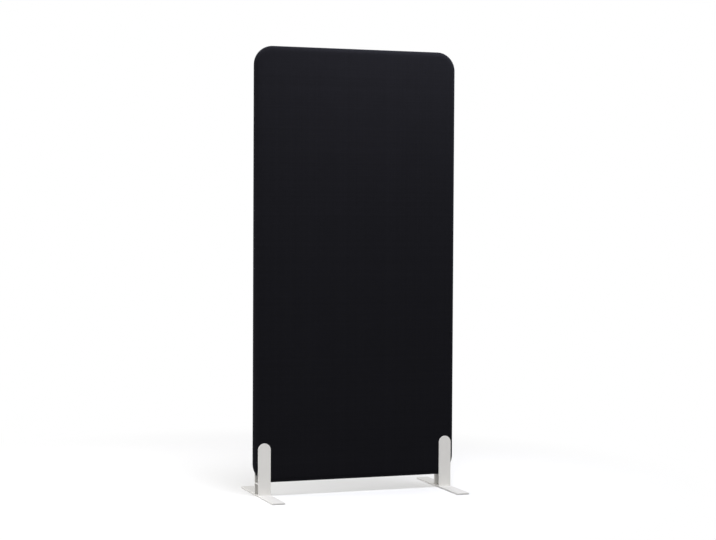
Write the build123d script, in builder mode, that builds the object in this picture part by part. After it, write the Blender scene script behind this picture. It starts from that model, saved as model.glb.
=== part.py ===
"""Free-standing acoustic divider screen: a fabric-covered panel with rounded corners, held
upright by two white steel feet near its bottom corners.

Millimetres. X runs to the right seen from the front, Y to the back, Z up. The floor is at
zero and the panel's middle stands over the origin. Left and right are the viewer's, seen
from the front.
"""
from build123d import *
import os

os.makedirs("parts", exist_ok=True)

# The panel
panel_width = 790
panel_height = 1600
panel_depth = 40
floor_gap = 50  # clear height between the floor and the panel
corner_radius = 70  # the panel's four corners, seen from the front
edge_radius = 17  # soft turn of the cover from a face to the edge

# Its layers, from the outside in
cover_thickness = 1
wadding_thickness = 4

# The timber frame inside
frame_bar = 45  # width of the rails and stiles
corner_block = 110  # both sides of an upper corner block, and the width of a lower one
foot_block_height = 160  # a lower corner block, tall enough to back the whole upright
dowel_radius = 4
dowel_length = 40
dowel_pitch = 24
dowel_slack = 0.1  # room around a dowel
dowel_end_room = 1  # room beyond each end of a dowel
core_slack = 0.5  # room around a core board

# The feet
foot_from_side = 37.5  # from the panel's side to the middle of a foot
bar_width = 48
upright_thickness = 4
upright_top = 197  # height of an upright's round top over the floor
tab_width = 24  # the tongue of an upright that stands in the base
tab_slack = 0.1
base_length = 406
base_thickness = 5
base_corner = 2
steel_edge = 0.7  # softened edges of the coated steel
spreader_thickness = 4
weld_leg = 3
weld_length = 36
pad_radius = 15
pad_thickness = 1.5
pad_edge = 0.3
pad_from_end = 22  # from the base's end to the middle of a pad

# The screws that hold each foot, driven in from the back
screw_low = 105
screw_high = 160
screw_radius = 3
screw_length = 20
screw_tip = 0.6
screw_head_radius = 5.25
screw_head_height = 3.3
screw_head_round = 2.2
socket_across = 4  # hexagon socket, across its flats
socket_depth = 2
upright_hole_slack = 0.3  # room around a screw in the rear upright
sheet_hole_slack = 0.5  # room around a screw in the back cover and its wadding
thread_slack = 0.05  # room around a screw in its threaded insert
insert_radius = 5
insert_length = 15

# Derived places
frame_inset = cover_thickness + wadding_thickness
frame_depth = panel_depth - 2 * frame_inset
frame_side = panel_width / 2 - frame_inset
frame_bottom = floor_gap + frame_inset
frame_top = floor_gap + panel_height - frame_inset
panel_middle = floor_gap + panel_height / 2
stile_inner = frame_side - frame_bar
block_inner = frame_side - corner_block
foot_block_top = frame_bottom + foot_block_height
corner_block_bottom = frame_top - corner_block
foot_x = panel_width / 2 - foot_from_side
face = panel_depth / 2
base_top = pad_thickness + base_thickness
sides = {"left": -1, "right": 1}
screw_heights = (screw_low, screw_high)


def rounded_slab(inset):
    """The panel's own shape drawn in all round by an inset."""
    with BuildPart() as slab:
        with BuildSketch(Plane.XZ):
            with Locations((0, panel_middle)):
                RectangleRounded(
                    panel_width - 2 * inset, panel_height - 2 * inset, corner_radius - inset
                )
        extrude(amount=panel_depth / 2 - inset, both=True)
        fillet(slab.faces().filter_by(Axis.Y).edges(), radius=edge_radius - inset)
    return slab.part


def half_skin(outer_inset, inner_inset, half, screw_hole_radius=None):
    """Half of a sheet around the panel: one face and half of the edge all round. Where a
    hole radius is given, the sheet has a hole for each of the screws."""
    with BuildPart() as sheet:
        add(rounded_slab(outer_inset))
        add(rounded_slab(inner_inset), mode=Mode.SUBTRACT)
        split(bisect_by=Plane.XZ, keep=half)
        if screw_hole_radius:
            with BuildSketch(Plane.XZ):
                with Locations(*[(s * foot_x, z) for s in sides.values() for z in screw_heights]):
                    Circle(screw_hole_radius)
            extrude(amount=-panel_depth, mode=Mode.SUBTRACT)
    return sheet.part


def dowel_joint(middle, axis, along):
    """The axes of the two dowels in a joint: two planes across them at the joint's face."""
    x, z = middle
    step_x, step_z = (0, dowel_pitch / 2) if axis == "x" else (dowel_pitch / 2, 0)
    return [
        Plane((x + n * step_x, 0, z + n * step_z), z_dir=along) for n in (-1, 1)
    ]


rail_low = frame_bottom + frame_bar / 2
rail_high = frame_top - frame_bar / 2
stile_middle = frame_side - frame_bar / 2
along_x, along_z = (1, 0, 0), (0, 0, 1)
dowel_planes = []
for s in sides.values():
    dowel_planes += dowel_joint((s * block_inner, rail_low), "x", along_x)
    dowel_planes += dowel_joint((s * block_inner, rail_high), "x", along_x)
    dowel_planes += dowel_joint((s * stile_inner, panel_middle), "x", along_x)
    dowel_planes += dowel_joint((s * stile_middle, foot_block_top), "z", along_z)
    dowel_planes += dowel_joint((s * stile_middle, corner_block_bottom), "z", along_z)


def dowel_set(radius, length):
    """A round rod of this radius and length in the place of every dowel of the frame."""
    with BuildPart() as rods:
        for plane in dowel_planes:
            with BuildSketch(plane):
                Circle(radius)
            extrude(amount=length / 2, both=True)
    return rods.part


dowel_bores = dowel_set(dowel_radius + dowel_slack, dowel_length + 2 * dowel_end_room)
frame_envelope = rounded_slab(frame_inset)


def frame_piece(x_from, x_to, z_from, z_to):
    """A piece of the frame between two widths and two heights, rounded over along the
    panel's outline and bored for its dowels."""
    with BuildPart() as piece:
        with BuildSketch(Plane.XZ):
            with Locations(((x_from + x_to) / 2, (z_from + z_to) / 2)):
                Rectangle(abs(x_to - x_from), z_to - z_from)
        extrude(amount=frame_depth / 2, both=True)
        add(frame_envelope, mode=Mode.INTERSECT)
        add(dowel_bores, mode=Mode.SUBTRACT)
    return piece.part


def save(part, name):
    """Name a piece and write it to its file."""
    part.label = name
    export_step(part, f"parts/{name}.step")


# The frame: three rails and two stiles between four corner blocks
rails = {
    "frame_top_rail": (block_inner, frame_top - frame_bar, frame_top),
    "frame_centre_rail": (
        stile_inner, panel_middle - frame_bar / 2, panel_middle + frame_bar / 2
    ),
    "frame_bottom_rail": (block_inner, frame_bottom, frame_bottom + frame_bar),
}
for name, (reach, z_from, z_to) in rails.items():
    save(frame_piece(-reach, reach, z_from, z_to), name)

for side, s in sides.items():
    stile = frame_piece(s * stile_inner, s * frame_side, foot_block_top, corner_block_bottom)
    save(stile, f"frame_stile_{side}")
    upper = frame_piece(s * block_inner, s * frame_side, corner_block_bottom, frame_top)
    save(upper, f"top_corner_block_{side}")

    # The lower block is also bored for the threaded inserts
    with BuildPart() as foot_block:
        add(frame_piece(s * block_inner, s * frame_side, frame_bottom, foot_block_top))
        with BuildSketch(Plane.XZ.offset(-frame_depth / 2)):
            with Locations(*[(s * foot_x, z) for z in screw_heights]):
                Circle(insert_radius)
        extrude(amount=insert_length, mode=Mode.SUBTRACT)
    save(foot_block.part, f"foot_block_{side}")

save(dowel_set(dowel_radius, dowel_length), "frame_dowels")

# The sound-absorbing boards that fill the frame, notched around the corner blocks
cores = {
    "core_upper": (
        panel_middle + frame_bar / 2, frame_top - frame_bar, corner_block_bottom, frame_top
    ),
    "core_lower": (
        frame_bottom + frame_bar, panel_middle - frame_bar / 2, frame_bottom, foot_block_top
    ),
}
for name, (z_from, z_to, notch_from, notch_to) in cores.items():
    with BuildPart() as core:
        with BuildSketch(Plane.XZ):
            with Locations((0, (z_from + z_to) / 2)):
                Rectangle(2 * (stile_inner - core_slack), z_to - z_from - 2 * core_slack)
            with Locations(
                *[(s * (frame_side + block_inner) / 2, (notch_from + notch_to) / 2)
                  for s in sides.values()]
            ):
                Rectangle(
                    corner_block + 2 * core_slack,
                    notch_to - notch_from + 2 * core_slack,
                    mode=Mode.SUBTRACT,
                )
        extrude(amount=frame_depth / 2, both=True)
    save(core.part, name)

# The soft layers: each is a front and a back sheet that meet halfway across the edge
sheet_hole = screw_radius + sheet_hole_slack
save(half_skin(cover_thickness, frame_inset, Keep.TOP), "wadding_front")
save(half_skin(cover_thickness, frame_inset, Keep.BOTTOM, sheet_hole), "wadding_back")
save(half_skin(0, cover_thickness, Keep.TOP), "cover_front")
save(half_skin(0, cover_thickness, Keep.BOTTOM, sheet_hole), "cover_back")


def upright(x, outer_plane, holes):
    """A flat upright with a round top, standing with a tongue in the base."""
    with BuildPart() as plate:
        with BuildSketch(outer_plane):
            round_middle = upright_top - bar_width / 2
            with Locations((x, round_middle)):
                Circle(bar_width / 2)
            with Locations((x, (base_top + round_middle) / 2)):
                Rectangle(bar_width, round_middle - base_top)
        extrude(amount=upright_thickness)
        rims = plate.faces().filter_by(Axis.Y).edges()
        fillet(rims.filter_by(lambda edge: edge.center().Z > base_top), radius=steel_edge)
        with BuildSketch(outer_plane):
            with Locations((x, (pad_thickness + base_top) / 2)):
                Rectangle(tab_width, base_thickness)
        extrude(amount=upright_thickness)
        if holes:
            with BuildSketch(outer_plane):
                with Locations(*[(x, z) for z in screw_heights]):
                    Circle(screw_radius + upright_hole_slack)
            extrude(amount=upright_thickness, mode=Mode.SUBTRACT)
    return plate.part


def weld_beads(x):
    """Short beads in the hidden corners between the uprights and the plates they join."""
    spreader_bottom = floor_gap - spreader_thickness
    with BuildPart() as beads:
        for y_way in (-1, 1):
            for corner_z, z_way in ((base_top, 1), (spreader_bottom, -1)):
                with BuildSketch(Plane.YZ.offset(x - weld_length / 2)):
                    with BuildLine():
                        Polyline(
                            (y_way * face, corner_z),
                            (y_way * (face - weld_leg), corner_z),
                            (y_way * face, corner_z + z_way * weld_leg),
                            close=True,
                        )
                    make_face()
                extrude(amount=weld_length)
    return beads.part


# The feet
for side, s in sides.items():
    x = s * foot_x

    with BuildPart() as base:
        with BuildSketch(Plane.XY.offset(pad_thickness)):
            with Locations((x, 0)):
                RectangleRounded(bar_width, base_length, base_corner)
            with Locations(*[(x, way * (face + upright_thickness / 2)) for way in (-1, 1)]):
                Rectangle(
                    tab_width + 2 * tab_slack, upright_thickness + 2 * tab_slack,
                    mode=Mode.SUBTRACT,
                )
        extrude(amount=base_thickness)
        flats = base.faces().filter_by(Axis.Z).sort_by(Axis.Z)
        rims = flats[0].outer_wire().edges() + flats[-1].outer_wire().edges()
        fillet(rims, radius=steel_edge)
    save(base.part, f"base_{side}")

    save(upright(x, Plane.XZ.offset(face), False), f"front_upright_{side}")
    rear_plane = Plane.XZ.offset(-face - upright_thickness)
    save(upright(x, rear_plane, True), f"rear_upright_{side}")

    with BuildPart() as spreader:
        with BuildSketch(Plane.XY.offset(floor_gap - spreader_thickness)):
            with Locations((x, 0)):
                Rectangle(bar_width, panel_depth)
        extrude(amount=spreader_thickness)
    save(spreader.part, f"spreader_plate_{side}")

    save(weld_beads(x), f"weld_beads_{side}")

    with BuildPart() as screws:
        for z in screw_heights:
            seat = Plane((x, face + upright_thickness, z), z_dir=(0, 1, 0))
            with BuildSketch(seat):
                Circle(screw_head_radius)
            extrude(amount=screw_head_height)
            with BuildSketch(seat):
                Circle(screw_radius)
            extrude(amount=-screw_length)
        ends = screws.faces().filter_by(Axis.Y).sort_by(Axis.Y)
        fillet(ends[-2].edges() + ends[-1].edges(), radius=screw_head_round)
        chamfer(ends[0].edges() + ends[1].edges(), length=screw_tip)
        for z in screw_heights:
            head_top = face + upright_thickness + screw_head_height
            with BuildSketch(Plane((x, head_top, z), z_dir=(0, 1, 0))):
                RegularPolygon(socket_across / 2, 6, major_radius=False)
            extrude(amount=-socket_depth, mode=Mode.SUBTRACT)
    save(screws.part, f"screws_{side}")

    with BuildPart() as inserts:
        with BuildSketch(Plane.XZ.offset(-frame_depth / 2)):
            with Locations(*[(x, z) for z in screw_heights]):
                Circle(insert_radius)
                Circle(screw_radius + thread_slack, mode=Mode.SUBTRACT)
        extrude(amount=insert_length)
    save(inserts.part, f"threaded_inserts_{side}")

    for end, way in (("front", -1), ("back", 1)):
        with BuildPart() as pad:
            with BuildSketch(Plane.XY):
                with Locations((x, way * (base_length / 2 - pad_from_end))):
                    Circle(pad_radius)
            extrude(amount=pad_thickness)
            fillet(pad.faces().sort_by(Axis.Z)[0].edges(), radius=pad_edge)
        save(pad.part, f"glide_pad_{side}_{end}")
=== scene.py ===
# %% [markdown]
# # A free-standing acoustic screen
# The screen is a tall panel, dressed in black woven cloth over soft wadding, that stands on
# two white coated-steel feet. The construction is already solved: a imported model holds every
# solid at its real size, and this lesson dresses it. Steel, timber and screws keep their
# solids and get a finish. The cloth and the wadding are remade as thin shells, because a
# solid can't show how cloth turns over an edge and gathers at a corner.

# %% Load the fixed frame
import bpy
import numpy as np
from mathutils import Matrix, Vector


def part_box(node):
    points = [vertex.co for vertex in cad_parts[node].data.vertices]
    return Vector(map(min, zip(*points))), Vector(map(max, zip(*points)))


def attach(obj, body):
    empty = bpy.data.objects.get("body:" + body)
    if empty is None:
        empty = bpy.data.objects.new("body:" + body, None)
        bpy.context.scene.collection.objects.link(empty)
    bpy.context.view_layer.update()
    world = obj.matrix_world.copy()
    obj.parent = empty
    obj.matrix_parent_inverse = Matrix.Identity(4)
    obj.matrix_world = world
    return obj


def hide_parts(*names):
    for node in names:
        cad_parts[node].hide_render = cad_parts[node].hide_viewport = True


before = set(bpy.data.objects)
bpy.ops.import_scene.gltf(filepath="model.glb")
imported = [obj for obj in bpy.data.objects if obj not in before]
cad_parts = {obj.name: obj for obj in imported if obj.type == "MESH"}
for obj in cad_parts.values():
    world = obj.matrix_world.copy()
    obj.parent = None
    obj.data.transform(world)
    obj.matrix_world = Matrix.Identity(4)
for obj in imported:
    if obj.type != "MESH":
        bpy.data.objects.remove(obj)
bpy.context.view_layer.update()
print("solid pieces in the frame:", len(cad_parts))

# %% [markdown]
# ## Measures
# Everything is in metres. What the frame can tell is read from it, so that nothing has to be
# fitted by eye. The corner radius and the layers' thicknesses are the same as in the solids.
# The turn, where the cloth bends from the face into the edge, is a plain quarter circle
# there. Real cloth is pulled tightest round it and squeezes the wadding, so here the turn is
# an oval, longer across the face than it is deep.

# %% Read the panel's measures
cover_low, cover_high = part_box("cover_front")
half_width = cover_high.x
half_depth = -cover_low.y
panel_bottom = cover_low.z
panel_top = cover_high.z
panel_middle = (panel_bottom + panel_top) / 2
corner_radius = 0.070
turn_across = 0.021
turn_deep = 0.018
cloth_thickness = 0.001
wadding_thickness = 0.004
print(f"panel {2 * half_width:.3f} x {panel_top - panel_bottom:.3f} x {2 * half_depth:.3f} m")

# %% [markdown]
# ## A sheet carried round the panel
# The panel could be a box with a bevel, but then the cloth would have no direction of its
# own. Here the outline is split in two: a plain rectangle in the middle, and everything
# outside it, which is reached by walking outwards along a normal. On a straight side the
# normal stays and the point moves. At a corner the point stays and the normal swings through
# a quarter turn, so one formula covers sides and corners alike.

# %% The outline and the grid inside it
core_x = half_width - corner_radius
core_z = (panel_bottom + corner_radius, panel_top - corner_radius)
cells_across, cells_up, cells_round = 60, 136, 54


def outline():
    """Once round the core rectangle, against the clock as seen from the front.

    Returns the base points (x, z), the outward normals, how far each corner has swung from
    0 to 1 (0 on the straight sides), and for each point the number of the grid point that it
    starts from. On a side: base = start + (end - start) * i / n, and the normal is fixed. At
    a corner: the base is fixed and the normal is (cos a, sin a) over a quarter turn of a.
    """
    grid = np.arange((cells_across + 1) * (cells_up + 1)).reshape(cells_up + 1, cells_across + 1)
    corners = np.array([(-core_x, core_z[0]), (core_x, core_z[0]),
                        (core_x, core_z[1]), (-core_x, core_z[1])])
    runs = (grid[0], grid[:, -1], grid[-1, ::-1], grid[::-1, 0])
    swing = np.arange(1, cells_round) / cells_round
    base, normal, turned, start = [], [], [], []
    for side, numbers in enumerate(runs):
        share = np.linspace(0, 1, len(numbers))[:, None]
        here, there = corners[side], corners[(side + 1) % 4]
        angle = np.pi / 2 * (side - 1 + np.r_[np.zeros(len(numbers)), swing])
        base += [here + (there - here) * share, np.tile(there, (len(swing), 1))]
        normal.append(np.stack([np.cos(angle), np.sin(angle)], 1))
        turned += [np.zeros(len(numbers)), swing]
        start += [numbers, np.full(len(swing), numbers[-1])]
    return tuple(np.concatenate(part) for part in (base, normal, turned, start))


ring_base, ring_normal, ring_swing, ring_start = outline()
print("points once round the panel:", len(ring_base))

# %% [markdown]
# ## The edge in section
# Cut through, the cloth starts at the seam in the middle of the edge, lies flat along the
# edge, turns over and runs on across the face. A bevel would give that shape but not the
# length of the cloth along it, and the length is needed twice: the weave is drawn along it,
# and it tells how large a sheet has to be cut. So the section is written out as a line.

# %% The profile, from the seam to the face
seam_groove = 0.0011
seam_width = 0.0018
seam_gap = 0.00002
seam_crowding = 1.7
squeeze = 0.3
edge_rings, turn_rings, face_rings = 7, 15, 6


def profile(inset):
    """Reach (distance out from the core), depth (distance from the panel's middle plane),
    cloth (length of cloth from the core) and loft (share of its thickness that the sheet
    keeps), for a sheet that lies an inset inside the panel.

    The edge is flat but for a groove at the seam, deep * (1 - depth / width) squared, where
    its rings crowd together. The turn is a quarter of an oval, (across * cos a,
    deep * sin a), and the border of the face is straight. The loft is 1, less a
    squeeze * sin 2a in the turn.
    """
    side = half_depth - turn_deep
    reach_out = corner_radius - inset
    share = np.linspace(0, 1, edge_rings + 1)[:-1]
    depth_side = seam_gap + (side - seam_gap) * share ** seam_crowding
    reach_side = reach_out - seam_groove * np.clip(1 - depth_side / seam_width, 0, 1) ** 2
    angle = np.linspace(0, np.pi / 2, turn_rings)
    reach_turn = reach_out - (turn_across - inset) * (1 - np.cos(angle))
    depth_turn = side + (turn_deep - inset) * np.sin(angle)
    reach_face = reach_turn[-1] * np.linspace(1, 0, face_rings + 1)[1:]
    reach = np.r_[reach_side, reach_turn, reach_face]
    depth = np.r_[depth_side, depth_turn, np.full(len(reach_face), depth_turn[-1])]
    steps = np.hypot(np.diff(reach), np.diff(depth))
    loft = np.ones(len(reach))
    loft[len(reach_side):-len(reach_face)] -= squeeze * np.sin(2 * angle)
    return reach, depth, np.r_[np.cumsum(steps[::-1])[::-1], 0], loft


border_cloth = profile(0)[2][0]
flat_size = 2 * (core_x + border_cloth), core_z[1] - core_z[0] + 2 * border_cloth
flat_area = flat_size[0] * flat_size[1] - (4 - np.pi) * border_cloth ** 2
print("one cover half, laid flat: %.3f x %.3f m" % flat_size)

# %% [markdown]
# ## Where the cloth is not smooth
# Flat cloth has spare length where it rounds a corner, and a sewer draws it into small
# gathers. The face isn't a true plane either: the wadding gives a little between the bars of
# the frame. Both could be sculpted by hand, but a few sines say the same, stay smooth and
# come out alike each time. They are shallow, under a millimetre, as on a taut cover.

# %% Gathers and hollows
gathers = 9
gather_depth = 0.00045
gather_spread = 0.011
hollow_depth = 0.0006
rounding_room = 0.000001
hollow_length = 1.9
hollow_waves = ((3.1, 2.3, 0.4), (-4.2, 3.7, 2.0), (1.3, -5.9, 4.4), (7.4, 1.9, 1.1))
border_power = (6, 14)


def gather(inset):
    """How far the cloth draws in where it is gathered round a corner: a cosine along the
    swing, fading in and out with a sine, times a bell across the profile at the turn."""
    cloth = profile(inset)[2]
    middle = cloth[0] - half_depth + turn_deep / 2
    across = np.exp(-(((cloth - middle) / gather_spread) ** 2))
    along = (0.5 - 0.5 * np.cos(2 * np.pi * gathers * ring_swing)) * np.sin(np.pi * ring_swing)
    return gather_depth * across[:, None] * along[None, :]


def hollow(x, z):
    """How far the face lies inside a true plane: the mean of a few slow crossing waves, kept
    between 0 and the full depth, and brought to nothing towards the panel's border."""
    waves = sum(np.sin(2 * np.pi * (a * x + b * z) / hollow_length + c)
                for a, b, c in hollow_waves)
    across = np.clip(np.abs(x) / (half_width - turn_across), 0, 1)
    up = np.clip(np.abs(z - panel_middle) / (panel_top - panel_middle - turn_across), 0, 1)
    border = (1 - across ** border_power[0]) * (1 - up ** border_power[1])
    return hollow_depth * (0.5 + waves / len(hollow_waves) / 2) * border


print(f"deepest gather: {1000 * gather(0).max():.2f} mm")

# %% [markdown]
# ## From points to a piece
# A mesh is a list of points and a list of faces that name them. Blender's own shapes could be
# pulled into place one by one, but the points are known already, so they go in at once. The
# object itself stays at the origin: its place is in its points, as in the frame's solids.

# %% Put a mesh into the scene
def new_mesh(name, points, faces):
    """An object at the origin, shaded smooth, from an array of points and lists of faces."""
    mesh = bpy.data.meshes.new(name)
    mesh.from_pydata(points.reshape(-1, 3), [], faces)
    mesh.shade_smooth()
    piece = bpy.data.objects.new(name, mesh)
    bpy.context.scene.collection.objects.link(piece)
    print(name, "faces:", len(faces))
    return piece


def new_piece(name, points, faces, replaced=()):
    """A piece of the screen: it rides with the frame, and may stand for some of its solids."""
    piece = new_mesh(name, points, faces)
    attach(piece, "root")
    if replaced:
        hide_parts(*replaced)
    return piece


def map_faces(piece, layer, places):
    """Write where each corner of each face lies on the flat material, in metres."""
    piece.data.uv_layers.new(name=layer).uv.foreach_set("vector", places.ravel())


# %% [markdown]
# ## One layer of cloth or wadding
# The skin of a layer is the plain grid on the core and, round it, rings of faces that follow
# the profile. At a corner of the core all rings meet in one grid point, so the last ring has
# triangles there. A Solidify modifier gives the skin its thickness and closes it at the seam.
# It grows inwards, because the outside is the face that was measured.

# %% The skin of a layer
def skin_points(inset, facing):
    """Points of the grid, then of each ring, and where they lie on the flat cloth.

    A ring's points are base + normal * reach, less the gather, and their depth is the
    profile's. On the flat cloth they lie at base + normal * cloth. facing is -1 or 1.
    """
    reach, depth, cloth = profile(inset)[:3]
    drawn = reach[:, None] - gather(inset)
    border = ring_base + ring_normal * drawn[:-1, :, None]
    lies = ring_base + ring_normal * cloth[:-1, None, None]
    grid_x, grid_z = np.meshgrid(np.linspace(-core_x, core_x, cells_across + 1),
                                 np.linspace(*core_z, cells_up + 1))
    inside = np.stack([grid_x, grid_z], 2).reshape(-1, 2)
    flat = np.concatenate([inside, border.reshape(-1, 2)])
    out = np.r_[np.full(len(inside), depth[-1]), np.repeat(depth[:-1], len(ring_base))]
    out -= hollow(flat[:, 0], flat[:, 1]) * (out > half_depth - inset - rounding_room)
    points = np.stack([flat[:, 0], facing * out, flat[:, 1]], 1)
    return points, np.concatenate([inside, lies.reshape(-1, 2)])


def skin_faces(rings, facing):
    """Quads between neighbours on the grid and between rings, turned to face outwards, with
    triangles where a ring's two points share one grid point."""
    grid_size = (cells_up + 1) * (cells_across + 1)
    numbers = np.arange(grid_size).reshape(cells_up + 1, cells_across + 1)
    cells = np.stack([numbers[:-1, :-1], numbers[:-1, 1:], numbers[1:, 1:], numbers[1:, :-1]], 2)
    around = len(ring_base)
    rows = np.arange(rings * around).reshape(rings, around) + grid_size
    rows = np.concatenate([rows, ring_start[None]])
    nexts = np.roll(rows, -1, 1)
    bands = np.stack([rows[:-1], nexts[:-1], nexts[1:], rows[1:]], 2).reshape(-1, 4)
    pinched = bands[:, 2] == bands[:, 3]
    quads = np.concatenate([cells.reshape(-1, 4), bands[~pinched]])[:, ::-facing]
    return quads.tolist() + bands[pinched][:, :3][:, ::-facing].tolist()


def panel_layer(name, inset, thickness, facing, node, slot):
    """A shell over one face of the panel and half of its edge, in place of a solid."""
    points, lies = skin_points(inset, facing)
    loft = profile(inset)[3][:-1]
    piece = new_piece(name, points, skin_faces(len(loft), facing), (node,))
    corner = np.empty(len(piece.data.loops), int)
    piece.data.loops.foreach_get("vertex_index", corner)
    map_faces(piece, "cloth", lies[corner])
    wall = piece.modifiers.new("thickness", "SOLIDIFY")
    wall.thickness, wall.offset = thickness, -1
    if slot == "wadding":
        around = len(ring_base)
        inside = len(points) - len(loft) * around
        lofty = piece.vertex_groups.new(name="loft")
        lofty.add(range(inside), 1.0, "REPLACE")
        for ring, kept in enumerate(loft):
            first = inside + ring * around
            lofty.add(range(first, first + around), kept, "REPLACE")
        wall.vertex_group = "loft"
    return piece


# %% [markdown]
# ## The cover and the wadding
# The cover is two halves, one for each face, stretched over the wadding. A cloth simulation
# would end in the same taut skin, because nothing hangs free, so the skin is drawn directly.
# The wadding is a soft sheet right under it. It keeps its thickness on the face, and where
# the cover pulls round the edge it is pressed thinner.

# %% Dress both faces
sheets = {"cloth": [], "wadding": []}
for way, facing in (("front", -1), ("back", 1)):
    cover = panel_layer(f"cover_{way}_cloth", 0, cloth_thickness, facing,
                        f"cover_{way}", "cover_fabric")
    wadding = panel_layer(f"wadding_{way}_layer", cloth_thickness, wadding_thickness, facing,
                          f"wadding_{way}", "wadding")
    sheets["cloth"].append(cover)
    sheets["wadding"].append(wadding)

# %% [markdown]
# ## The sewn seam
# The front and back covers meet halfway across the edge. A hand would close that seam with
# slanted stitches that cross the groove, each a short loop of thread that lies low in it and
# dives into the cloth at both ends. A curve with a bevel for every stitch would be hundreds
# of objects. They are all the same small tube, so the whole row is one array instead:
# stitches x rings x sides.

# %% A row of tubes
def tube_faces(tubes, rings, sides):
    """Quads along each tube of a row of tubes, and a flat cap at each end."""
    numbers = np.arange(tubes * rings * sides).reshape(tubes, rings, sides)
    turned = np.roll(numbers, -1, 2)
    quads = np.stack([numbers[:, :-1], numbers[:, 1:], turned[:, 1:], turned[:, :-1]], 3)
    caps = [*numbers[:, 0].tolist(), *numbers[:, -1, ::-1].tolist()]
    return quads.reshape(-1, 4).tolist() + caps


def tube_map(tubes, rings, sides):
    """For each corner of those faces, how far along its tube it lies and how far round it,
    both from 0 to 1. Every tube has the same map, and a cap lies on one point."""
    ring, side = np.meshgrid(np.arange(rings - 1), np.arange(sides), indexing="ij")
    along = np.stack([ring, ring + 1, ring + 1, ring], 2) / (rings - 1)
    across = np.stack([side, side, side + 1, side + 1], 2) / sides
    walls = np.tile(np.stack([along, across], 3).reshape(-1, 2), (tubes, 1))
    return np.concatenate([walls, np.zeros((2 * tubes * sides, 2))])


# %% Stitches round the edge
stitch_pitch = 0.0055
stitch_reach = 0.0014
stitch_slant = 0.0011
stitch_bed = 0.55
stitch_arch = 0.25
thread_radius = 0.00024
thread_taper = 0.97
thread_rings, thread_sides = 7, 5


def stitch_row():
    """Points of every stitch. Along a stitch w runs from -1 to 1: the thread crosses the seam
    by reach * w, leans along it by slant * w, arches out by 1 - w ** 4, and thins at its ends.
    Its bed and its arch are shares of the groove's depth.
    """
    path = ring_base + ring_normal * (corner_radius - seam_groove * stitch_bed)
    path = np.concatenate([path, path[:1]])
    normals = np.concatenate([ring_normal, ring_normal[:1]])
    length = np.r_[0, np.cumsum(np.hypot(*np.diff(path, axis=0).T))]
    count = int(length[-1] / stitch_pitch)
    where = (np.arange(count) + 0.5) * length[-1] / count
    centre = np.stack([np.interp(where, length, path[:, i]) for i in (0, 1)], 1)
    out = np.stack([np.interp(where, length, normals[:, i]) for i in (0, 1)], 1)
    along = np.stack([-out[:, 1], out[:, 0]], 1)
    w = np.linspace(-1, 1, thread_rings)
    angle = np.arange(thread_sides) * 2 * np.pi / thread_sides
    thick = thread_radius * np.sqrt(1 - thread_taper * np.abs(w) ** 6)
    arch = seam_groove * stitch_arch * (1 - w ** 4)
    lift = arch[:, None] + thick[:, None] * np.cos(angle)
    lean = (stitch_slant * w)[:, None] + thick[:, None] * np.sin(angle)
    place = (centre[:, None, None] + out[:, None, None] * lift[None, ..., None]
             + along[:, None, None] * lean[None, ..., None])
    across = np.broadcast_to((stitch_reach * w)[None, :, None], place.shape[:3])
    return np.stack([place[..., 0], across, place[..., 1]], -1)


stitches = stitch_row()
seam = new_piece("edge_seam_stitches", stitches, tube_faces(*stitches.shape[:3]))
map_faces(seam, "thread", tube_map(*stitches.shape[:3]))
print("stitches:", len(stitches))

# %% [markdown]
# ## Weld beads
# The uprights are welded to the base and to the plate between them, in corners that only
# show from the side. A bead laid by hand is a row of overlapping ripples. A bump in the
# finish would leave its outline straight, so its rounded section really swells and shrinks
# along its length.

# %% Rippled beads in place of the plain ones
ripple_pitch = 0.0021
bead_leg = 0.0030
bead_bulge = 0.15
bead_swell = 0.14
bead_fade = 0.85
bead_fade_power = 14
bead_rings, bead_points = 97, 7


def bead(x_from, x_to, corner_y, corner_z, way_y, way_z):
    """A closed tube along x. Its section is the corner itself and a face between the ends of
    two legs: at an angle a the face lies (1 + bulge * sin 2a) / (cos a + sin a) legs out.
    Along the bead the leg is 1 - swell + swell * |sine|, and it fades at both ends."""
    share = np.linspace(0, 1, bead_rings)
    ripple = np.abs(np.sin(np.pi * share * (x_to - x_from) / ripple_pitch))
    fade = 1 - bead_fade * np.abs(2 * share - 1) ** bead_fade_power
    leg = bead_leg * (1 - bead_swell + bead_swell * ripple) * fade
    angle = np.linspace(0, np.pi / 2, bead_points)
    out = (1 + bead_bulge * np.sin(2 * angle)) / (np.cos(angle) + np.sin(angle))
    y = corner_y + way_y * leg[:, None] * np.r_[0, out * np.cos(angle)]
    z = corner_z + way_z * leg[:, None] * np.r_[0, out * np.sin(angle)]
    x = np.broadcast_to((x_from + (x_to - x_from) * share)[:, None], y.shape)
    points = np.stack([x, y, z], 2)
    return points if way_y * way_z < 0 else points[:, ::-1]


bead_pieces = []
for side in ("left", "right"):
    low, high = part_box(f"weld_beads_{side}")
    beads = np.stack([
        bead(low.x, high.x, y, z, -np.sign(y), way_z)
        for y in (low.y, high.y) for z, way_z in ((low.z, 1), (high.z, -1))
    ])
    bead_pieces.append(new_piece(f"weld_bead_ripples_{side}", beads,
                                 tube_faces(*beads.shape[:3]),
                                 (f"weld_beads_{side}",)))

# %% [markdown]
# ## Writing a finish as arithmetic
# A finish is a graph of nodes, and could be wired by hand in the editor. It is easier to read
# as a formula. Signal wraps one output of a node, and its operators add the Math nodes. Graph
# adds every other kind of node. Finish is a Graph with the few helpers that a material needs.

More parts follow.
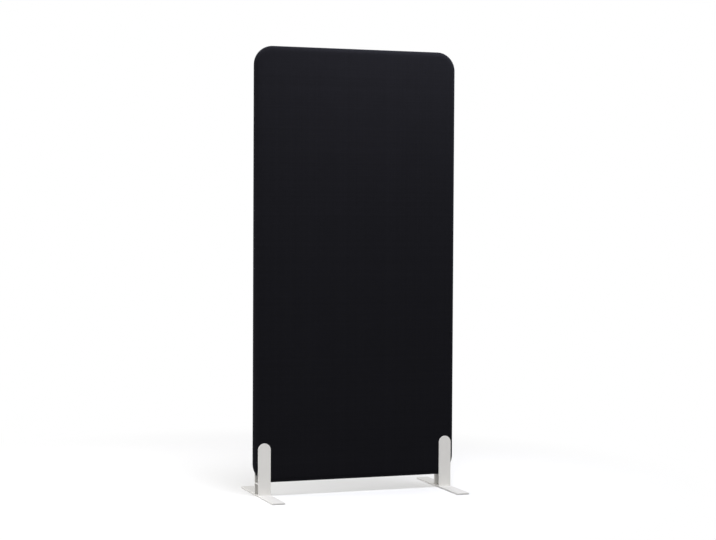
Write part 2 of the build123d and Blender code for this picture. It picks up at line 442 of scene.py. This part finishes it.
# %% Arithmetic on nodes
class Signal:
    """A number that varies over a surface, usable in ordinary arithmetic."""

    def __init__(self, graph, output):
        self.graph, self.output = graph, output

    def maths(self, operation, first, second=0.0):
        return self.graph.node("ShaderNodeMath", {"operation": operation},
                               {0: first, 1: second})

    def __add__(self, other):
        return self.maths("ADD", self, other)

    def __radd__(self, other):
        return self.maths("ADD", other, self)

    def __sub__(self, other):
        return self.maths("SUBTRACT", self, other)

    def __rsub__(self, other):
        return self.maths("SUBTRACT", other, self)

    def __mul__(self, other):
        return self.maths("MULTIPLY", self, other)

    def __rmul__(self, other):
        return self.maths("MULTIPLY", other, self)

    def sine(self):
        return self.maths("SINE", self)

    def size(self):
        return self.maths("ABSOLUTE", self)

    def whole(self):
        return self.maths("FLOOR", self)

    def larger(self, other):
        return self.maths("MAXIMUM", self, other)

    def above(self, other):
        return self.maths("GREATER_THAN", self, other)


# %% Any other node
class Graph:
    """A tree of nodes, added to one by one."""

    def __init__(self, tree):
        self.tree = tree

    def feed(self, socket, value):
        """Join a signal to a socket, or write a plain value on it."""
        if isinstance(value, Signal):
            self.tree.links.new(value.output, socket)
        else:
            socket.default_value = value

    def node(self, kind, settings={}, sockets={}, output=0):
        """Any node: its settings first, then what goes into its sockets."""
        node = self.tree.nodes.new(kind)
        for name, value in settings.items():
            if name == "stops":
                for i, (position, level) in enumerate(value):
                    stops = node.color_ramp.elements
                    stop = stops[i] if i < len(stops) else stops.new(position)
                    stop.position, stop.color = position, (level, level, level, 1)
            else:
                setattr(node, name, value)
        for name, value in sockets.items():
            self.feed(node.inputs[name], value)
        return Signal(self, node.outputs[output])

    def looked_at(self):
        """1 where a ray comes from the camera, or by way of a reflection or clear glass."""
        straight, mirrored, through = [
            self.node("ShaderNodeLightPath", output=f"Is {ray} Ray")
            for ray in ("Camera", "Glossy", "Transmission")
        ]
        return straight.larger(mirrored).larger(through)


# %% A material and its helpers
class Finish(Graph):
    """One material. Values that are the same all over go straight onto its sockets."""

    def __init__(self, name, constants):
        self.material = bpy.data.materials.new(name)
        self.material.use_nodes = True
        super().__init__(self.material.node_tree)
        self.surface = self.tree.nodes["Principled BSDF"]
        self.set(constants)
        self.place = self.node("ShaderNodeTexCoord", output="Object")

    def set(self, values):
        """Values or signals for the surface's own sockets."""
        for name, value in values.items():
            self.feed(self.surface.inputs[name], value)

    def parts(self, vector):
        """The three numbers of a vector."""
        return [self.node("ShaderNodeSeparateXYZ", {}, {0: vector}, axis) for axis in "XYZ"]

    def noise(self, scale, stretch=(1, 1, 1), detail=3.0, vector=None):
        """Cloudy noise from 0 to 1, with scale in lumps a metre."""
        spread = self.node("ShaderNodeMapping", {},
                           {"Vector": vector or self.place, "Scale": stretch})
        return self.node("ShaderNodeTexNoise", {},
                         {"Vector": spread, "Scale": scale, "Detail": detail})

    def ramp(self, signal, *stops):
        """A signal passed through a curve of (position, level) stops."""
        return self.node("ShaderNodeValToRGB", {"stops": stops}, {"Fac": signal})

    def mix(self, share, first, second):
        """A colour between two, by a share from 0 to 1."""
        return self.node("ShaderNodeMix", {"data_type": "RGBA"},
                         {0: share, 6: (*first, 1), 7: (*second, 1)}, output=2)

    def bump(self, height, distance):
        """Raise the surface by a height from 0 to 1 times a distance in metres."""
        self.set({"Normal": self.node("ShaderNodeBump", {},
                                      {"Distance": distance, "Height": height}, "Normal")})

    def done(self):
        print(self.material.name, "nodes:", len(self.tree.nodes))
        return self.material


# %% [markdown]
# ## Woven cloth
# The cover is a matt, near-black plain weave. Each thread goes over one and under the next,
# which one product of two sines says for the whole cloth: its sign tells which thread is on
# top. An image of cloth would repeat and blur close by. This pattern reads the cloth's own
# map, in metres, so it follows the cloth over the turn. Slow noise bends the threads a
# little, and each thread has its own tone, as in spun wool.
# Where a thread dips under its neighbour the colour is darker as well, which is painted shade in
# the weave's hollows.

# %% The black cover
thread_pitch = 0.0016
thread_sway = 0.5
thread_rise = 0.38
weave_height = 0.00028
black_deep, black_pale = (0.0027, 0.0026, 0.0032), (0.0106, 0.0104, 0.0128)


def woven_black():
    finish = Finish("woven_black", {
        "Specular IOR Level": 0.02,
        "Sheen Weight": 0.06,
        "Sheen Roughness": 0.45,
        "Sheen Tint": (0.74, 0.80, 1.0, 1.0),
    })
    lay = finish.node("ShaderNodeUVMap", {"uv_map": "cloth"})
    sways = [finish.noise(90, stretch, vector=lay) for stretch in ((1, 0.2, 1), (0.2, 1, 1))]
    threads = [part * (1 / thread_pitch) + thread_sway * sway
               for part, sway in zip(finish.parts(lay), sways)]
    warp, weft = [(thread * np.pi).sine() for thread in threads]
    over = warp * weft
    warp_height = warp.size() * (1 - thread_rise + over * thread_rise)
    weft_height = weft.size() * (1 - thread_rise - over * thread_rise)
    fibre = finish.noise(2600, (1, 1, 1), 2.0)
    height = warp_height.larger(weft_height) * 0.85 + fibre * 0.15
    tones = [finish.node("ShaderNodeTexWhiteNoise", {"noise_dimensions": "1D"},
                         {"W": thread.whole()}) for thread in threads]
    on_top = warp_height.above(weft_height)
    tone = tones[0] * on_top + tones[1] * (1 - on_top)
    melange = finish.noise(420, detail=2.0)
    worn = finish.noise(7, detail=4.0)
    # The height term darkens the colour where a thread dips under another: painted shade in the
    # weave's hollows.
    share = tone * 0.25 + melange * 0.35 + height * 0.25 + worn * 0.15
    finish.set({
        "Base Color": finish.mix(share, black_deep, black_pale),
        "Roughness": 0.86 + worn * 0.1,
    })
    finish.bump(height, weave_height)
    return finish.done()


cloth_black = woven_black()

# %% [markdown]
# ## Sewing thread
# Close by, the thread of the seam is two plies wound round each other, smoother than the
# cloth. Winding two thin tubes for each stitch would be geometry nobody sees. One sine of
# how far along and how far round a point lies draws both plies as a slanted stripe.
# The stripe is darker in the groove between the plies, which is painted shade.

# %% The thread of the seam
ply_turns = 5
plies = 2


def wound_thread():
    finish = Finish("wound_thread", {"Specular IOR Level": 0.15, "Sheen Weight": 0.05})
    along, across = finish.parts(finish.node("ShaderNodeUVMap", {"uv_map": "thread"}))[:2]
    # The colour follows the ply relief, darker in the groove between the plies: painted shade.
    ply_relief_and_shade = (2 * np.pi * (along * ply_turns + across * plies)).sine() * 0.5 + 0.5
    fuzz = finish.noise(5200, detail=2.0)
    share = ply_relief_and_shade * 0.6 + fuzz * 0.4
    finish.set({
        "Base Color": finish.mix(share, (0.0032, 0.0031, 0.0038), (0.0120, 0.0118, 0.0145)),
        "Roughness": 0.62 + fuzz * 0.16,
    })
    finish.bump(share, 0.00006)
    return finish.done()


thread_black = wound_thread()

# %% [markdown]
# ## Coated steel
# The feet are flat steel, powder coated in white. Powder flows out before it sets, but never
# quite flat: it keeps a fine orange peel, which noise draws better than any regular pattern.
# On the base, where shoes and brooms touch it, a few long scuffs break the sheen, so they
# are kept to the height of the base bar.

# %% The white feet
base_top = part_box("base_left")[1].z
scuff_top = base_top + 0.0005


def powder_coat():
    finish = Finish("powder_coat_white", {"Specular IOR Level": 0.45})
    peel = finish.noise(850, detail=2.0)
    speck = finish.noise(5200, detail=1.0)
    cloudy = finish.noise(14, detail=3.0)
    on_base = 1 - finish.parts(finish.place)[2].above(scuff_top)
    streaks = finish.noise(60, (3.5, 0.5, 3.5), 6.0)
    scuffs = finish.ramp(streaks, (0.60, 0.0), (0.70, 1.0)) * on_base
    shade = cloudy * 0.6 + speck * 0.25 + scuffs * 0.15
    finish.set({
        "Base Color": finish.mix(shade, (0.705, 0.69, 0.66), (0.645, 0.63, 0.60)),
        "Roughness": 0.40 + peel * 0.08 + scuffs * 0.14,
    })
    finish.bump(peel * 0.8 + speck * 0.2, 0.00005)
    return finish.done()


coat_white = powder_coat()

# %% [markdown]
# ## Screws, inserts and pads
# Three small finishes. Bright zinc on the screws shows faint lines from the turning. The
# inserts are brass, turned as well. The pads are rubber, grained like the mould that they
# came from and dulled by dust. All three are noise, stretched where a tool left its mark.

# %% Metal and rubber
def zinc_plate():
    finish = Finish("zinc_plate", {"Metallic": 1.0})
    cloudy = finish.noise(900, detail=3.0)
    lines = finish.noise(2200, (1, 0.15, 1), 2.0)
    finish.set({
        "Base Color": finish.mix(cloudy, (0.55, 0.56, 0.58), (0.70, 0.71, 0.72)),
        "Roughness": 0.24 + cloudy * 0.14,
    })
    finish.bump(lines, 0.00002)
    return finish.done()


def turned_brass():
    finish = Finish("turned_brass", {"Metallic": 1.0})
    rings = finish.noise(1500, (0.2, 3, 0.2), 2.0)
    finish.set({
        "Base Color": finish.mix(rings, (0.62, 0.44, 0.17), (0.78, 0.60, 0.30)),
        "Roughness": 0.28 + rings * 0.12,
    })
    finish.bump(rings, 0.00003)
    return finish.done()


def moulded_rubber():
    finish = Finish("moulded_rubber", {"Specular IOR Level": 0.35})
    grain = finish.noise(1900, detail=3.0)
    dust = finish.noise(80, detail=4.0)
    finish.set({
        "Base Color": finish.mix(dust, (0.020, 0.020, 0.021), (0.055, 0.054, 0.052)),
        "Roughness": 0.62 + dust * 0.2,
    })
    finish.bump(grain, 0.00006)
    return finish.done()


zinc, brass, rubber = zinc_plate(), turned_brass(), moulded_rubber()

# %% [markdown]
# ## What the cloth hides
# Nobody sees the frame and its filling, but they are real pieces of the model. Planed pine
# has long streaks along its length, so a rail and a post need the same grain turned. The
# fibre board and the wadding are both tangled fibre, one pressed hard and one loose, so one
# function makes both.

# %% Timber, fibre board and wadding
grain_radians = 34


def planed_pine(name, lengthways):
    """Pine whose grain runs along one axis: lengthways is its stretch, small along it."""
    finish = Finish(name, {"Specular IOR Level": 0.3})
    rings = (finish.noise(55, lengthways, 2.0) * grain_radians).sine() * 0.5 + 0.5
    pores = finish.noise(700, lengthways, 4.0)
    share = rings * 0.65 + pores * 0.35
    finish.set({
        "Base Color": finish.mix(share, (0.62, 0.42, 0.22), (0.78, 0.60, 0.38)),
        "Roughness": 0.55 + pores * 0.2,
    })
    finish.bump(pores * 0.7 + rings * 0.3, 0.00008)
    return finish.done()


def tangled_fibre(name, dark, light, lump, height):
    """Felted fibre, with lumps a metre and the height of its nap in metres."""
    finish = Finish(name, {"Specular IOR Level": 0.15, "Sheen Weight": 0.2})
    nap = finish.noise(lump, (1, 0.6, 1.3), 6.0)
    flecks = finish.ramp(finish.noise(lump * 0.6, detail=5.0), (0.45, 0.0), (0.62, 1.0))
    finish.set({
        "Base Color": finish.mix(nap * 0.6 + flecks * 0.4, dark, light),
        "Roughness": 0.86 + nap * 0.12,
    })
    finish.bump(nap, height)
    return finish.done()


pine_level = planed_pine("planed_pine_level", (0.06, 1, 1))
pine_upright = planed_pine("planed_pine_upright", (1, 1, 0.06))
board = tangled_fibre("pressed_fibre_board", (0.16, 0.16, 0.17), (0.42, 0.42, 0.43), 900, 0.0006)
fleece = tangled_fibre("loose_wadding", (0.66, 0.66, 0.63), (0.86, 0.86, 0.83), 350, 0.0012)

# %% [markdown]
# ## A finish for every piece
# Assigning finishes one object at a time is easy to get wrong when pieces come in pairs. The
# pieces' names already say what they are, so a table from the start of a name to a finish
# does it. The longest start that fits wins.

# %% Give every piece its finish
finishes = {
    "base": coat_white, "front_upright": coat_white, "rear_upright": coat_white,
    "spreader_plate": coat_white, "weld_bead": coat_white, "screws": zinc,
    "threaded_inserts": brass, "glide_pad": rubber, "frame_top_rail": pine_level,
    "frame_centre_rail": pine_level, "frame_bottom_rail": pine_level,
    "frame_dowels": pine_level, "frame_stile": pine_upright,
    "top_corner_block": pine_upright, "foot_block": pine_upright,
    "core": board, "cover": cloth_black, "wadding": fleece, "edge_seam": thread_black,
}


def dress(piece, material):
    """Put one material in a piece's only slot."""
    piece.data.materials.clear()
    piece.data.materials.append(material)


new_pieces = [*sheets["cloth"], *sheets["wadding"], seam, *bead_pieces]
for piece in [*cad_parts.values(), *new_pieces]:
    kind = max((kind for kind in finishes if piece.name.startswith(kind)), key=len)
    dress(piece, finishes[kind])
print("finishes in use:", len({material.name for material in finishes.values()}))

# %% [markdown]
# ## The floor
# The screen stands on a white floor that runs into a white background. Enough light to turn
# the floor white would wash out the white feet. In the photograph the uprights are palest
# low down, where the base bar stands in front of them, so the bar gives back more light than
# the floor round it. The floor here is dull in the same way, and only what looks straight at
# it, or sees it in a reflection, finds it white. Near the screen that look is mostly paper
# with a little glow, so that the shadow stays, and farther out it fades to white.

# %% A white floor that keeps the shadow
given_back = 0.30
shade_lift = 0.16
paper_seen = (0.78, 0.774, 0.763)
shade_centre = (-0.15, 0.35, 0)
shade_reach = (0.8, 1.7)
floor_radius = 14
rim_points = 96


def white_floor():
    """A flat fan of triangles from the centre to (r cos a, r sin a) on the rim."""
    angle = np.arange(rim_points) * 2 * np.pi / rim_points
    rim = floor_radius * np.stack([np.cos(angle), np.sin(angle), 0 * angle], 1)
    numbers = np.arange(1, rim_points + 1)
    fan = np.stack([0 * numbers, numbers, np.roll(numbers, -1)], 1)
    floor = new_mesh("studio_floor", np.concatenate([np.zeros((1, 3)), rim]), fan.tolist())
    dull = (given_back, given_back, given_back, 1)
    finish = Finish("studio_floor", {"Base Color": dull, "Roughness": 1.0,
                                     "Specular IOR Level": 0.0})
    paper = finish.node("ShaderNodeBsdfDiffuse", {}, {"Color": (*paper_seen, 1)})
    lift = finish.node("ShaderNodeEmission", {}, {"Strength": shade_lift})
    near = finish.node("ShaderNodeAddShader", {}, {0: paper, 1: lift})
    white = finish.node("ShaderNodeEmission", {}, {"Strength": 1.0})
    away = finish.node("ShaderNodeVectorMath", {"operation": "DISTANCE"},
                       {0: finish.place, 1: shade_centre}, "Value")
    fade = finish.node("ShaderNodeMapRange", {"interpolation_type": "SMOOTHSTEP"},
                       {"Value": away, "From Min": shade_reach[0], "From Max": shade_reach[1]})
    backdrop = finish.node("ShaderNodeMixShader", {}, {0: fade, 1: near, 2: white})
    plain = Signal(finish, finish.surface.outputs[0])
    look = finish.node("ShaderNodeMixShader", {}, {0: finish.looked_at(), 1: plain, 2: backdrop})
    finish.feed(finish.tree.nodes["Material Output"].inputs["Surface"], look)
    dress(floor, finish.done())


white_floor()

# %% [markdown]
# ## The light
# The photograph has soft light with hardly a shadow. Black cloth shows mostly its sheen: it is
# palest near the top, where two cool softboxes hang just in front, and it falls off below.
# A wide low box in front lights all that stands upright, and hardly the floor. It stands a
# little to the left, so that some of its light gets past the front uprights to the rear
# ones. A box at the left side lights the panel's edge, and one behind thins the shadow on
# the floor. Even light from all round does the rest. A single sun would be simpler, but its
# shadow is hard and the cloth stays flat.

# %% Even light from all round
ambient_level = 0.36
world = bpy.data.worlds.new("studio")
world.use_nodes = True
bpy.context.scene.world = world
studio = Graph(world.node_tree)
sky = studio.tree.nodes["Background"].inputs
sky["Color"].default_value = (1, 1, 1, 1)
studio.feed(sky["Strength"], ambient_level + studio.looked_at() * (1 - ambient_level))
print("even light:", ambient_level, "and white where it is looked at")

# %% Five softboxes
cool_white = (0.90, 0.92, 1.0)
plain_white = (1, 1, 1)


def softbox(name, place, aim, energy, width, height, color):
    """An area lamp at a place, turned so that it shines towards its aim."""
    light = bpy.data.lights.new(name, "AREA")
    light.shape = "RECTANGLE"
    light.size, light.size_y = width, height
    light.energy, light.color = energy, color
    holder = bpy.data.objects.new(name, light)
    bpy.context.scene.collection.objects.link(holder)
    holder.location = place
    holder.rotation_euler = (Vector(aim) - Vector(place)).to_track_quat("-Z", "Y").to_euler()
    print(f"{name}: {energy} W, {width} x {height} m")


softbox("box_in_front", place=(-0.6, -4.2, 1.1), aim=(0, 0, 0.7),
        energy=62, width=2.4, height=1.6, color=plain_white)
softbox("box_near_the_top", place=(0.30, -0.70, 2.38), aim=(0, 0, 1.3),
        energy=29, width=1.4, height=0.6, color=cool_white)
softbox("box_above", place=(0.10, -0.30, 2.75), aim=(0, 0, 0),
        energy=25, width=1.6, height=0.8, color=cool_white)
softbox("box_at_the_side", place=(-3.0, 0.3, 1.1), aim=(0, 0, 0.6),
        energy=64, width=1.6, height=1.6, color=plain_white)
softbox("box_behind", place=(-0.6, 1.4, 2.4), aim=(0, 0, 0),
        energy=17, width=1.4, height=0.8, color=plain_white)

# %% [markdown]
# ## The camera
# The camera stands where the photograph was taken from: six metres in front and two to the
# left, a metre up, with a long lens that keeps the sides nearly parallel. Its place and its
# three turns were fitted to the panel's edges and the feet. The lens is given as the focal
# length in pixels, which any image width turns back into millimetres.

# %% The camera
camera_place = (-2.149, -5.972, 1.039)
camera_turn = 0.3471
camera_dip = 0.0330
camera_lean = 0.0051
focal_pixels = 1702
image_width = 716

camera = bpy.data.objects.new("camera", bpy.data.cameras.new("camera"))
bpy.context.scene.collection.objects.link(camera)
camera.data.lens = camera.data.sensor_width * focal_pixels / image_width
camera.matrix_world = (
    Matrix.Translation(camera_place)
    @ Matrix.Rotation(-camera_turn, 4, "Z")
    @ Matrix.Rotation(np.pi / 2 - camera_dip, 4, "X")
    @ Matrix.Rotation(camera_lean, 4, "Z")
)
bpy.context.scene.camera = camera
bpy.context.scene.view_settings.view_transform = "Standard"
print(f"lens: {camera.data.lens:.1f} mm on a {camera.data.sensor_width:.0f} mm sensor")
